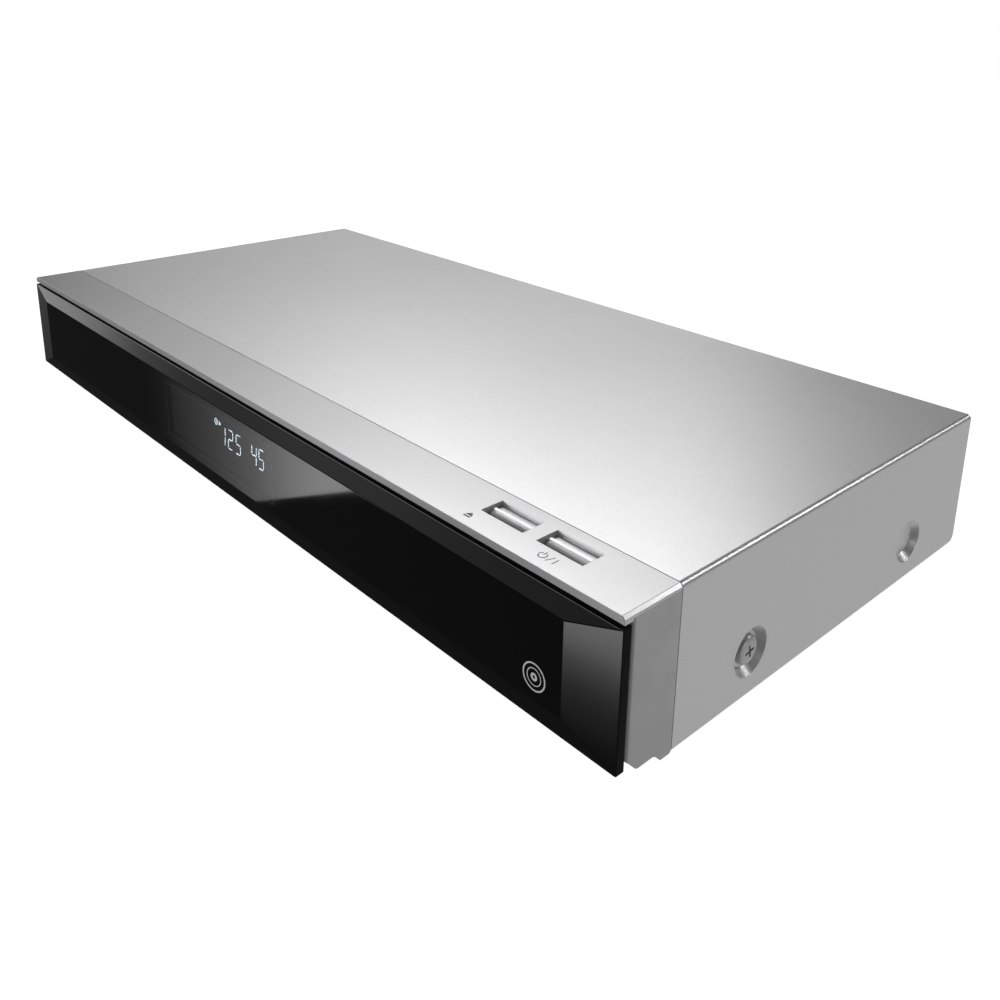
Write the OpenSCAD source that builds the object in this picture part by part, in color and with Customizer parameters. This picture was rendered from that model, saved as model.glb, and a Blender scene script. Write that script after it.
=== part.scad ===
// Full-width disc and hard-disk video recorder: sheet-metal case, flip-down front door,
// motor-driven disc tray, hard drive, tuner, power supply and fan.
// Y runs from the front to the back. Every part is drawn with y = 0 at the top lip's front
// face and z = 0 on the floor, and place() then centres the recorder front to back.

/* [Case] */
// Overall width of the case
body_w = 430; // [426:1:440]
// Depth from the front lip to the back edge of the cover
body_d = 203; // [203:1:215]
// Height from the floor to the top face
body_h = 59; // [59:0.5:60]
// Thickness of the cover, chassis and rear panel sheet
sheet_t = 0.8; // [0.6:0.1:1]
// Outside radius of the cover's top bends
bend_r = 1.8; // [1.2:0.1:3]
// Radius of each side dimple at the surface
dimple_r = 8.7; // [7.5:0.1:9]
// Depth of each side dimple
dimple_depth = 2.4; // [1.5:0.1:2.4]
// Width of each side dimple's sloping wall
dimple_wall_w = 2.6; // [1.8:0.1:3]

/* [Front] */
// Depth of the silver strip along the top front edge
strip_d = 23.7; // [23:0.1:24]
// Thickness of the strip's front lip
lip_t = 2.6; // [2:0.1:3]
// Height of the door's lower edge above the floor
door_bottom = 9.5; // [9.5:0.1:10]
// Height of the door's upper edge above the floor
door_top = 55.2; // [50:0.1:55.2]
// How far the door's flat face stands in front of its bevelled edge
door_bevel_h = 1.87; // [1:0.01:2.5]
// Width of the bevel at each end of the door
bevel_side = 19.3; // [10:0.1:30]
// Width of the bevel along the door's top
bevel_top = 6; // [3:0.1:8]
// Width of the bevel along the door's bottom
bevel_bottom = 8; // [3:0.1:9]
// Radius of the two door hinge pins
hinge_pin_r = 1; // [0.8:0.05:1]

/* [Buttons] */
// Distance of the eject button's centre from the middle of the case
eject_x = 157.4; // [155:0.1:160]
// Distance of the power button's centre from the middle of the case
power_x = 181.7; // [180:0.1:184]
// Width of each button well at the surface
well_w = 18.6; // [16:0.1:19]
// Front-to-back size of each button well at the surface
well_d = 9.3; // [8:0.1:9.4]

/* [Disc drive] */
// Middle of the disc drive, to the left of the middle of the case
drive_x = -96; // [-97:0.5:-95]
// Diameter of the disc that the tray holds
disc_d = 120; // [120]
// Angle by which the laser deck hangs below its playing position
deck_drop = 4.5; // [4:0.1:4.5]

/* [Rear] */
// Side of the square cooling fan
fan_size = 40; // [40]
// Radius of the threaded part of each aerial socket
aerial_r = 4.7; // [4.7]

/* [Feet] */
// Radius of each foot
foot_r = 11; // [8:0.5:14]
// Height of the chassis floor above the table
floor_z = 5; // [5]

/* [Hidden] */
$fn = 48;

door_proud = door_bevel_h + 0.33;
aerial_end = body_d + 9;
mid_y = (aerial_end - door_proud) / 2;
half_w = body_w / 2;
lip_z = body_h - lip_t;
side_in = half_w - 3.5;
cheek_y = 3.6;
cheek_top = 57.1;
cover_y = strip_d + 0.3;
panel_y = body_d - 2 * sheet_t;
pan_half = half_w - dimple_depth - 0.7;
pan_top = floor_z + sheet_t;
dimple_z = 20;
dimple_ys = [61, 162];
hinge_y = 4.4;
hinge_z = 11;
door_back = 3.1;
lens_back = 1.2;
wall_y = 21;
wall_t = 1.6;
well_y = 14.4;
hole_in = 0.6;
board_z = 12;
board_t = 1.6;
board_top = board_z + board_t;
tray_w = 128;
tray_y0 = 29;
tray_y1 = 192;
tray_z0 = 49.5;
tray_z1 = 55.5;
disc_y = tray_y0 + disc_d / 2 + 1.5;
drive_w = 144;
drive_half = drive_w / 2;
drive_leg_ys = [38, 167];
gear_x = drive_x + 46;
gear_y = 48;
rack_x = gear_x + 8;
small_teeth = 16;
large_teeth = 36;
pinion_teeth = 12;
large_module = 0.8;
pinion_x = gear_x - large_module * (large_teeth + pinion_teeth) / 2;
pivot_y = 176;
pivot_z = 40;
deck_z = 43.9;
deck_t = 1.5;
rod_z = 41;
rod_dx = 22;
hdd_x0 = -14;
hdd_x1 = 87.6;
hdd_y0 = 32;
hdd_y1 = 179;
hdd_z0 = 24;
hdd_z1 = 50;
platter_c = [37, 78];
arm_c = [70, 148];
fan_c = [44, 35.5];
aerial_xs = [172, 194];
aerial_z = 23;
inlet_c = [-190, 24];
ci_x0 = 94;
ci_x1 = 153;
ci_slots_z = [21.6, 31.6];
foot_xy = [[-165, 46], [165, 46], [-165, 182], [165, 182]];
rear_screw_xs = [-120, 84, 150];
stand_xy = [[104, 118], [200, 118], [104, 176], [30, 191], [200, 142],
    [-204, 66], [-179, 66], [-204, 188], [-179, 150],
    [164, 54], [201, 54]];

// ---- helpers ----------------------------------------------------------------------------

module place() translate([0, -mid_y, 0]) children();

// A block between two opposite corners
module block(lo, hi) translate(lo) cube(hi - lo);

module both_sides() {
    children();
    mirror([1, 0, 0]) children();
}

module rod_x(x0, x1, y, z, r) translate([x0, y, z]) rotate([0, 90, 0]) cylinder(h = x1 - x0, r = r);

module rod_y(y0, y1, x, z, r) translate([x, y0, z]) rotate([-90, 0, 0]) cylinder(h = y1 - y0, r = r);

module rod_z(z0, z1, x, y, r) translate([x, y, z0]) cylinder(h = z1 - z0, r = r);

// An outline given as [y, z] points, extruded along X from x0 to x1
module slab_x(x0, x1, outline)
    translate([x0, 0, 0]) rotate([90, 0, 90]) linear_extrude(x1 - x0) polygon(outline);

// An outline given as [x, z] points, extruded along Y from y0 to y1
module slab_y(y0, y1, outline)
    translate([0, y1, 0]) rotate([90, 0, 0]) linear_extrude(y1 - y0) polygon(outline);

// A rectangle of w0 by d0 that widens to w1 by d1 over the height h
module flared_block(w0, d0, w1, d1, h) intersection() {
    slab_y(-d1, d1, [[-w0 / 2, 0], [w0 / 2, 0], [w1 / 2, h], [-w1 / 2, h]]);
    slab_x(-w1, w1, [[-d0 / 2, 0], [d0 / 2, 0], [d1 / 2, h], [-d1 / 2, h]]);
}

// Spur gear with straight-flanked teeth and a little backlash
module spur_gear(teeth, mod, h) {
    pitch_r = teeth * mod / 2;
    root_r = pitch_r - 1.15 * mod;
    tip_r = pitch_r + 0.85 * mod;
    step = 360 / teeth;
    linear_extrude(h) polygon([for (i = [0 : teeth - 1]) for (p = [[-0.3, root_r], [-0.12, tip_r],
        [0.12, tip_r], [0.3, root_r]]) p[1] * [cos((i + p[0]) * step), sin((i + p[0]) * step)]]);
}

module rounded_rect(w, d, r) {
    square([w, d - 2 * r], center = true);
    square([w - 2 * r, d], center = true);
    for (x = [-1, 1], y = [-1, 1]) translate([x * (w / 2 - r), y * (d / 2 - r)]) circle(r);
}

// ---- case -------------------------------------------------------------------------------

module u_outline(half, top, r) {
    translate([-half, 0]) square([2 * half, top - r]);
    translate([r - half, 0]) square([2 * (half - r), top]);
    for (s = [-1, 1]) translate([s * (half - r), top - r]) circle(r);
}

module dimple_shell(y) translate([half_w, y, dimple_z]) rotate([0, -90, 0]) rotate_extrude()
    polygon([[0, dimple_depth], [dimple_r - dimple_wall_w, dimple_depth], [dimple_r - 0.2, 0],
        [dimple_r, 0], [dimple_r, sheet_t], [dimple_r - dimple_wall_w + 0.9, dimple_depth + 0.7],
        [0, dimple_depth + 0.7]]);

module top_cover() place() color("silver") {
    back_round = 3;
    difference() {
        translate([0, body_d, 0]) rotate([90, 0, 0]) linear_extrude(body_d - cover_y)
            u_outline(half_w, body_h, bend_r);
        translate([0, body_d + 1, -1]) rotate([90, 0, 0]) linear_extrude(body_d - cover_y + 2)
            u_outline(half_w - sheet_t, body_h - sheet_t + 1, bend_r - sheet_t);
        block([-half_w - 1, 0, -1], [half_w + 1, body_d + 1, floor_z]);
        for (y = dimple_ys) rod_x(-half_w - 1, half_w + 1, y, dimple_z, dimple_r - 0.01);
        difference() {
            block([-half_w - 1, body_d - back_round, floor_z - 1],
                [half_w + 1, body_d + 1, floor_z + back_round]);
            rod_x(-half_w - 2, half_w + 2, body_d - back_round, floor_z + back_round, back_round);
        }
    }
    both_sides() {
        difference() {
            dimple_shell(dimple_ys[0]);
            rod_x(half_w - 5, half_w + 1, dimple_ys[0], dimple_z, 2.1);
        }
        dimple_shell(dimple_ys[1]);
    }
    for (x = rear_screw_xs) difference() {
        block([x - 10, body_d - sheet_t, 49], [x + 10, body_d, body_h - sheet_t]);
        rod_y(body_d - 2, body_d + 1, x, 53, 1.5);
    }
}

module chassis_base() place() color("gainsboro") {
    front_y = 24.8;
    difference() {
        union() {
            block([-pan_half, front_y, floor_z], [pan_half, panel_y, pan_top]);
            both_sides() block([pan_half - sheet_t, 30, pan_top], [pan_half, panel_y, 29]);
            block([-205, front_y, pan_top], [205, front_y + sheet_t, 13]);
            block([-205, panel_y - sheet_t, pan_top], [205, panel_y, 10.5]);
        }
        both_sides() rod_x(pan_half - 2, pan_half + 1, dimple_ys[0], dimple_z, 2.05);
        for (x = [-140 : 9 : -60]) block([x, 100, floor_z - 1], [x + 3, 122, pan_top + 1]);
        for (x = [10 : 9 : 70]) block([x, 90, floor_z - 1], [x + 3, 112, pan_top + 1]);
        for (x = [120 : 9 : 190]) block([x, 70, floor_z - 1], [x + 3, 92, pan_top + 1]);
    }
    for (p = stand_xy) difference() {
        rod_z(pan_top, board_z, p[0], p[1], 3);
        rod_z(pan_top + 1, board_z + 1, p[0], p[1], 1.3);
    }
}

module fan_grille() for (a = [0 : 45 : 315]) translate([fan_c[0], panel_y - 1, fan_c[1]])
    rotate([0, a, 0]) for (r = [6, 11, 15.5]) block([r, 0, -r * 0.3], [r + 2.6, 3, r * 0.3]);

module rear_panel() place() color("gainsboro") difference() {
    block([-half_w + 1.1, panel_y, floor_z], [half_w - 1.1, panel_y + sheet_t, body_h - 1]);
    fan_grille();
    for (x = [-1, 1], z = [-1, 1])
        rod_y(panel_y - 1, panel_y + 2, fan_c[0] + 16 * x, fan_c[1] + 16 * z, 1.6);
    for (x = aerial_xs) rod_y(panel_y - 1, panel_y + 2, x, aerial_z, 5);
    for (x = rear_screw_xs) rod_y(panel_y - 1, panel_y + 2, x, 53, 1.5);
    block([inlet_c[0] - 11.6, panel_y - 1, inlet_c[1] - 7.1],
        [inlet_c[0] + 11.6, panel_y + 2, inlet_c[1] + 7.1]);
    block([70.9, panel_y - 1, board_top - 0.3], [81.1, panel_y + 2, 24]);
    block([90.2, panel_y - 1, board_top + 0.2], [105.8, panel_y + 2, 20.2]);
    block([112.1, panel_y - 1, board_top - 0.3], [126.9, panel_y + 2, 21.2]);
    block([131.6, panel_y - 1, board_top - 0.3], [148.4, panel_y + 2, 27.6]);
    for (x = [-92 : 6 : -20]) block([x, panel_y - 1, 34], [x + 3, panel_y + 2, 48]);
}

// A cheek seen from above, with its outer front edge rounded
module cheek_plan() {
    round_r = 1.2;
    cheek_w = half_w - side_in;
    translate([side_in, cheek_y + round_r]) square([cheek_w, strip_d - cheek_y - round_r]);
    translate([side_in, cheek_y]) square([cheek_w - round_r, 2 * round_r]);
    translate([half_w - round_r, cheek_y + round_r]) circle(round_r);
}

module front_frame() place() color("darkgray") {
    cheek = [[cheek_y, cheek_top], [cheek_y, 12.3], [7.2, 8.9], [8, 7.7], [9.2, 7.3], [15.4, 7.3],
        [16.6, 6.8], [19, 4.2], [strip_d - 0.6, 4.2], [strip_d, 4.8], [strip_d, cheek_top]];
    difference() {
        both_sides() {
            intersection() {
                slab_x(side_in, half_w, cheek);
                linear_extrude(body_h) cheek_plan();
            }
            rod_x(206, side_in, hinge_y, hinge_z, 2);
        }
        both_sides() rod_x(205, 211, hinge_y, hinge_z, hinge_pin_r + 0.02);
    }
    block([-side_in, 9.5, 6.4], [side_in, strip_d, 8]);
    for (x = [-190 : 38 : 190]) block([x - 1, 10, 5.2], [x + 1, strip_d, 6.4]);
}

module top_strip() place() color("silver") {
    end_w = 1;
    difference() {
        union() {
            slab_y(0, strip_d, [[-half_w, lip_z], [half_w, lip_z], [half_w, body_h - end_w],
                [half_w - end_w, body_h], [end_w - half_w, body_h], [-half_w, body_h - end_w]]);
            for (x = [eject_x, power_x])
                block([x - well_w / 2 - 0.6, well_y - well_d / 2 - 0.6, 54],
                    [x + well_w / 2 + 0.6, well_y + well_d / 2 + 0.6, lip_z]);
        }
        both_sides() block([side_in, cheek_y, lip_z - 1], [half_w + 1, strip_d + 1, cheek_top]);
        for (x = [eject_x, power_x]) translate([x, well_y, 0]) {
            block([-well_w / 2 + hole_in, -well_d / 2 + hole_in, 50],
                [well_w / 2 - hole_in, well_d / 2 - hole_in, body_h + 1]);
            translate([0, 0, body_h - 1.2]) flared_block(well_w - 2 * hole_in, well_d - 2 * hole_in,
                well_w + 0.1, well_d + 0.1, 1.3);
        }
    }
}

module sub_panel() place() color("#202020") {
    slot_half = tray_w / 2 + 1.5;
    difference() {
        union() {
            block([-side_in + 0.2, wall_y, 8.2], [side_in - 0.2, wall_y + wall_t, 56.2]);
            block([-side_in + 0.2, 8, 8.2], [side_in - 0.2, wall_y, 9.4]);
            block([drive_x - slot_half - 1.5, wall_y, 47], [drive_x + slot_half + 1.5, 28.4, 56.2]);
            for (x = [-185, 122]) block([x - 4, 8, 48.5], [x + 4, wall_y, 54]);
        }
        block([drive_x - slot_half, wall_y - 1, 48.6], [drive_x + slot_half, 29, 57]);
        block([rack_x - 1.6, wall_y - 1, 46], [rack_x + 4.8, 29, 49]);
        block([-20, wall_y - 1, 30], [28, wall_y + 3, 40]);
        for (z = ci_slots_z) block([ci_x0 + 2.2, wall_y - 1, z], [ci_x1 - 2.2, wall_y + 3, z + 5.8]);
        block([159.8, wall_y - 1, 19.8], [184.2, wall_y + 3, 22.4]);
        block([189.8, wall_y - 1, 18.9], [204.7, wall_y + 3, 26.3]);
        rod_y(wall_y - 1, wall_y + 3, -46, 34, 3.3);
        for (x = [150, 190]) block([x - 6, wall_y - 1, 49.5], [x + 6, wall_y + 3, 52]);
    }
}

module feet() place() color("#2b2b2b") for (p = foot_xy) difference() {
    union() {
        rod_z(1.2, floor_z, p[0], p[1], foot_r);
        rod_z(0.7, 1.2, p[0], p[1], foot_r - 1);
    }
    rod_z(0, 1.9, p[0], p[1], foot_r - 2.4);
}

module foot_pads() place() color("#151515") for (p = foot_xy)
    rod_z(0, 1.9, p[0], p[1], foot_r - 2.5);

// Pan head that faces +X, with a cross recess
module side_screw() translate([half_w - dimple_depth, dimple_ys[0], dimple_z]) difference() {
    union() {
        rotate([0, 90, 0]) rotate_extrude() polygon([[0, 0], [4.9, 0], [4.9, 0.9], [4.5, 1.6],
            [3.5, 2.05], [0, 2.2]]);
        rod_x(-6, 0, 0, 0, 2);
    }
    for (a = [10, 100]) rotate([a, 0, 0]) block([0.7, -2.2, -0.45], [3, 2.2, 0.45]);
}

module cover_side_screws() place() color("silver") both_sides() side_screw();

module cover_rear_screws() place() color("silver") for (x = rear_screw_xs)
    translate([x, body_d, 53]) difference() {
        union() {
            rod_y(0, 1.5, 0, 0, 2.9);
            rod_y(1.5, 2, 0, 0, 2.3);
            rod_y(-5, 0, 0, 0, 1.42);
        }
        for (a = [0, 90]) rotate([0, a, 0]) block([-1.5, 0.8, -0.35], [1.5, 3, 0.35]);
    }

module hinge_pins() place() color("silver") both_sides()
    rod_x(201.6, 211, hinge_y, hinge_z, hinge_pin_r);

module door_magnets() place() color("dimgray") for (x = [-185, 122])
    block([x - 3.5, 4.2, 49], [x + 3.5, 8, 53.5]);

// ---- door -------------------------------------------------------------------------------

module door_panel() place() color("#0b0b0b") {
    rim = 1.4;
    side_rim = 3.2;
    edge_y = door_bevel_h - door_proud;
    difference() {
        intersection() {
            slab_y(-door_proud - 1, door_back, [[-half_w, door_bottom], [half_w, door_bottom],
                [half_w, door_top], [-half_w, door_top]]);
            slab_x(-half_w, half_w, [[door_back, door_bottom], [edge_y, door_bottom],
                [-door_proud, door_bottom + bevel_bottom], [-door_proud, door_top - bevel_top],
                [edge_y, door_top], [door_back, door_top]]);
            translate([0, 0, door_bottom]) linear_extrude(door_top - door_bottom)
                polygon([[-half_w, door_back], [-half_w, edge_y], [bevel_side - half_w, -door_proud],
                    [half_w - bevel_side, -door_proud], [half_w, edge_y], [half_w, door_back]]);
        }
        block([side_rim - half_w, lens_back, door_bottom + rim],
            [half_w - side_rim, door_back + 1, door_top - rim]);
        both_sides() block([200.5, lens_back, door_bottom - 1], [half_w - side_rim, door_back + 1, 15]);
    }
}

module door_inner_frame() place() color("#242424") {
    frame_half = 205.4;
    z0 = door_bottom + 1.5;
    z1 = door_top - 1.5;
    difference() {
        union() {
            block([-frame_half, lens_back, z0], [frame_half, door_back - 0.1, z1]);
            both_sides() {
                rod_x(201, 205.4, hinge_y, hinge_z, 2.3);
                block([201, lens_back, hinge_z - 1.4], [205.4, hinge_y, hinge_z + 2]);
            }
        }
        block([-54, 0, 19], [46, 5, 49]);
        for (x = [-185, 122]) block([x - 5.1, 1.7, 48], [x + 5.1, 5, 53]);
        for (x = [-190 : 13.5 : -68], z = [16, 27, 38]) block([x, 2, z], [x + 11, 5, z + 9]);
        for (x = [60 : 13.5 : 190], z = [16, 27, 38]) block([x, 2, z], [x + 11, 5, z + 9]);
        both_sides() rod_x(200, 206, hinge_y, hinge_z, hinge_pin_r + 0.05);
    }
}

module door_catch_plates() place() color("silver") for (x = [-185, 122])
    block([x - 5, 1.7, 48.1], [x + 5, 2.7, 52.9]);

// ---- display and buttons ----------------------------------------------------------------

module display_holder() place() color("#181818") difference() {
    block([-36, 4.2, 20], [44, wall_y, 48]);
    block([-32.2, 3, 22.8], [40.2, 10, 45.2]);
    block([-33.4, 9.9, 21.6], [41.4, wall_y + 1, 46.4]);
}

module display_glass() place() color("#1d2b30") {
    block([-32, 3.6, 23], [40, 9.8, 45]);
    rod_y(9.8, 10.2, 36, 26, 1.5);
}

module display_board() place() color("darkgreen") {
    block([-33.2, 10.2, 21.8], [41.2, 11.8, 46.2]);
    block([-21, 11.8, 31.5], [-12, 15.8, 37.5]);
}

module ir_receiver() place() color("#200a0a") {
    rod_y(18, 26, -46, 34, 3.2);
    translate([-46, 18, 34]) rotate([90, 0, 0]) difference() {
        sphere(3.2);
        translate([-4, -4, -8]) cube(8);
    }
}

module button_holder() place() color("#1c1c1c") difference() {
    block([141, 7.8, 46.8], [200, 20.9, 53.8]);
    block([142.2, 9, 48.8], [198.8, 19.7, 54]);
}

module button_board() place() color("darkgreen") difference() {
    block([142.6, 9.3, 48.8], [198.4, 19.4, 50.4]);
    for (x = [147, 194]) rod_z(48, 51, x, 16.8, 1.2);
}

module tact_switches() place() color("#303030") for (x = [eject_x, power_x]) {
    block([x - 3, well_y - 3, 50.4], [x + 3, well_y + 3, 53.2]);
    rod_z(53.2, 54, x, well_y, 1.7);
}

// Oblong cap with a thin ridge along its middle, a front half that slopes down to the front,
// and a stem over its switch
module button_cap(x) translate([x, well_y, 0]) {
    cap_w = well_w - 2 * hole_in - 0.6;
    cap_d = well_d - 2 * hole_in - 0.6;
    slab_x(-cap_w / 2, cap_w / 2, [[-cap_d / 2, 55.4], [cap_d / 2, 55.4], [cap_d / 2, 57.4],
        [1.3, 57.5], [1, 58.2], [-0.1, 58.2], [-0.5, 57.7], [-1.5, 57.35], [-2.5, 56.8],
        [-3.2, 56.3], [-cap_d / 2, 55.8]]);
    rod_z(54.9, 55.4, 0, 0, 2.2);
}

module eject_button() place() color("lightgray") button_cap(eject_x);

module power_button() place() color("lightgray") button_cap(power_x);

// ---- front sockets ----------------------------------------------------------------------

module front_board() place() color("darkgreen") difference() {
    block([157, 28, 17.4], [205.6, 60, 19]);
    for (x = [164, 201]) rod_z(17, 20, x, 54, 1.6);
}

module card_slot() place() color("silver") difference() {
    block([158, 22.8, 19], [186, 50, 23.2]);
    block([159.8, 22, 19.8], [184.2, 46, 22.4]);
}

module usb_shell(x, y0, y1, z) difference() {
    block([x, y0, z], [x + 14.5, y1, z + 7.1]);
    block([x + 0.5, y0 - 1, z + 0.5], [x + 14, y1 - 1, z + 6.6]);
}

module front_usb_socket() place() color("silver") {
    usb_shell(190, 20.4, 38, 19);
    block([191.6, 22, 23.2], [202.9, 37, 25]);
}

module ci_slot_cage() place() color("silver") difference() {
    block([ci_x0, 22.8, 19.4], [ci_x1, 108, 40]);
    for (z = ci_slots_z) block([ci_x0 + 2.2, 22, z], [ci_x1 - 2.2, 105, z + 5.8]);
    for (y = [35 : 16 : 90]) block([ci_x0 + 8, y, 38.4], [ci_x1 - 8, y + 8, 41]);
}

// ---- disc drive -------------------------------------------------------------------------

module tray_outline() {
    tail_w = 22;
    translate([drive_x - tray_w / 2, tray_y0]) square([tray_w, disc_y - tray_y0 + 40]);
    for (s = [-1, 1]) translate([drive_x + s * (tray_w - tail_w) / 2 - tail_w / 2, tray_y0])
        square([tail_w, tray_y1 - tray_y0]);
}

module disc_tray() place() color("#1a1a1a") {
    slot_w = 66;
    difference() {
        translate([0, 0, tray_z0]) linear_extrude(tray_z1 - tray_z0) tray_outline();
        rod_z(53.3, 60, drive_x, disc_y, disc_d / 2 + 0.8, $fn = 96);
        rod_z(51.8, 60, drive_x, disc_y, 40.6, $fn = 96);
        rod_z(45, 60, drive_x, disc_y, 18);
        block([drive_x - slot_w / 2, disc_y, 45], [drive_x + slot_w / 2, tray_y1 + 1, 60]);
        slab_x(-200, 0, [[tray_y0 - 1, 45], [tray_y0 + 2.2, 45], [tray_y0 + 2.2, tray_z0],
            [tray_y0 - 0.01, tray_z0 + 2.2], [tray_y0 - 1, tray_z0 + 2.2]]);
        for (s = [-1, 1]) block([drive_x + s * 63 - 2, tray_y0 + 12, 52.6],
            [drive_x + s * 63 + 2, tray_y0 + 40, 60]);
    }
    block([rack_x + 1.15, tray_y0 + 6, 46.8], [rack_x + 4, tray_y1, tray_z0]);
    tooth_pitch = PI;
    first_tooth = gear_y + tooth_pitch / 2 - 5 * tooth_pitch;
    for (i = [0 : 50]) translate([0, first_tooth + i * tooth_pitch, 46.8]) linear_extrude(2.7)
        polygon([[rack_x + 1.15, -0.94], [rack_x + 1.15, 0.94], [rack_x - 0.85, 0.38],
            [rack_x - 0.85, -0.38]]);
}

module drive_base() place() color("#262626") {
    wall = 2.4;
    x0 = drive_x - drive_half;
    x1 = drive_x + drive_half;
    guide = drive_half - tray_w / 2 - 0.4;
    difference() {
        union() {
            for (x = [x0, x1 - wall]) block([x, 30, 14], [x + wall, 190, 56]);
            block([x0 + wall, 30, 40], [x1 - wall, 60, 42.5]);
            block([x0 + wall, 30, 36], [x1 - wall, 31.6, 40]);
            block([x0 + wall, 182, 36], [x1 - wall, 190, 42.5]);
            for (s = [-1, 1]) {
                block([drive_x + s * 65.8 - 3.8, 30, 46.2], [drive_x + s * 65.8 + 3.8, 190, 49.2]);
                block([drive_x + s * 67.2 - 2.4, 34, 49.2], [drive_x + s * 67.2 + 2.4, 60, 54]);
                block([drive_x + s * 67.2 - 2.4, 140, 49.2], [drive_x + s * 67.2 + 2.4, 186, 54]);
                block([drive_x + s * 44 - 3, 170, 33], [drive_x + s * 44 + 3, 182, 46]);
                for (y = drive_leg_ys) block([drive_x + s * (drive_half + 3) - 3, y - 5, pan_top],
                    [drive_x + s * (drive_half + 3) + 3, y + 5, 17]);
            }
            rod_z(42.5, 49, gear_x, gear_y, 2);
        }
        for (s = [-1, 1]) {
            rod_x(drive_x + s * 44 - 4, drive_x + s * 44 + 4, pivot_y, pivot_z, 2.05);
            for (y = drive_leg_ys) rod_z(pan_top + 2, 18, drive_x + s * (drive_half + 3), y, 1.3);
        }
        rod_z(38, 44, pinion_x, gear_y, 3);
        block([x0 - 1, 75, 20], [x1 + 1, 135, 36]);
    }
}

module drive_bridge() place() color("silver") difference() {
    block([drive_x - drive_half, disc_y - 32, 56], [drive_x + drive_half, disc_y + 32, 56.8]);
    rod_z(55, 58, drive_x, disc_y, 11.4);
    for (s = [-1, 1], y = [-20, 20]) block([drive_x + s * 42 - 14, disc_y + y - 6, 55],
        [drive_x + s * 42 + 14, disc_y + y + 6, 58]);
}

module disc_clamp() place() color("#303030") {
    rod_z(55.8, 56.9, drive_x, disc_y, 10.9);
    rod_z(56.9, 57.8, drive_x, disc_y, 13.4);
}

module drive_board() place() color("darkgreen") {
    block([-162, 84, 20], [-30, 176, 21.6]);
    block([-112, 104, 21.6], [-84, 132, 23.4]);
    block([-60, 120, 21.6], [-44, 136, 23.2]);
    block([-42, 108, 21.6], [-34, 130, 24]);
}

module loading_motor() place() color("silver") {
    rod_z(20, 39.8, pinion_x, gear_y, 10);
    rod_z(39.8, 46.4, pinion_x, gear_y, 1);
}

module motor_pinion() place() color("ivory") translate([pinion_x, gear_y, 42.8]) difference() {
    rotate(180 / pinion_teeth) spur_gear(pinion_teeth, large_module, 3.4);
    translate([0, 0, -1]) cylinder(h = 6, r = 1.05);
}

module loading_gear() place() color("ivory") translate([gear_x, gear_y, 0]) difference() {
    union() {
        translate([0, 0, 42.9]) spur_gear(large_teeth, large_module, 3.1);
        translate([0, 0, 46]) cylinder(h = 0.6, r = 9.2);
        translate([0, 0, 46.6]) spur_gear(small_teeth, 1, 2.3);
    }
    translate([0, 0, 42]) cylinder(h = 8, r = 2.05);
}

// The deck's parts are drawn level, as when a disc plays, and lowered about the rear pivot
module lowered() translate([0, pivot_y, pivot_z]) rotate([deck_drop, 0, 0])
    translate([0, -pivot_y, -pivot_z]) children();

module laser_deck() place() color("gray") lowered() {
    x0 = drive_x - 38;
    x1 = drive_x + 38;
    difference() {
        block([x0, 68, deck_z], [x1, 172, deck_z + deck_t]);
        block([drive_x - 26, 106, deck_z - 1], [drive_x + 26, 164, deck_z + 3]);
        rod_z(deck_z - 1, deck_z + 3, drive_x, disc_y, 4);
        for (x = [x0 + 6, x1 - 6], y = [74, 168]) rod_z(deck_z - 1, deck_z + 3, x, y, 1.7);
    }
    for (s = [-1, 1]) {
        block([drive_x + s * 37.3 - 0.7, 68, 38], [drive_x + s * 37.3 + 0.7, 180, deck_z]);
        for (y = [102, 165]) block([drive_x + s * rod_dx - 3.5, y, 38.4],
            [drive_x + s * rod_dx + 3.5, y + 3, deck_z]);
    }
    rod_x(drive_x - 46.5, drive_x - 38, pivot_y, pivot_z, 2);
    rod_x(drive_x + 38, drive_x + 46.5, pivot_y, pivot_z, 2);
}

module guide_rods() place() color("silver") lowered() for (s = [-1, 1])
    rod_y(105, 165, drive_x + s * rod_dx, rod_z, 1.5);

module spindle_motor() place() color("darkgray") lowered() {
    difference() {
        rod_z(deck_z + deck_t, 47.6, drive_x, disc_y, 14);
        rod_z(deck_z, 48, drive_x, disc_y, 1.55);
    }
    block([drive_x + 8, disc_y - 20, deck_z + deck_t], [drive_x + 20, disc_y - 14.5, 46]);
}

module turntable() place() color("#383838") lowered() {
    rod_z(deck_z + deck_t, 48, drive_x, disc_y, 1.5);
    rod_z(48, 51.4, drive_x, disc_y, 13);
    rod_z(51.4, 52.2, drive_x, disc_y, 9);
    difference() {
        rod_z(52.2, 54.4, drive_x, disc_y, 14.6);
        rod_z(53.9, 55, drive_x, disc_y, 9);
    }
    translate([drive_x, disc_y, 53.9]) rotate_extrude() polygon([[0, 0], [7.4, 0], [7.4, 0.9],
        [6, 1.6], [0, 1.6]]);
}

module sled_motor() place() color("silver") lowered() {
    rod_y(92, 104, drive_x + 31.5, 40.2, 3.4);
    block([drive_x + 28, 104, 36.8], [drive_x + 35, 105, deck_z]);
    block([drive_x + 28, 164, 37.2], [drive_x + 35, 165, deck_z]);
}

module lead_screw() place() color("silver") lowered() {
    rod_y(105.2, 163.8, drive_x + 31.5, 40.2, 1.1);
    for (y = [108 : 3 : 160]) rod_y(y, y + 1.5, drive_x + 31.5, 40.2, 1.5);
}

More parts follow.
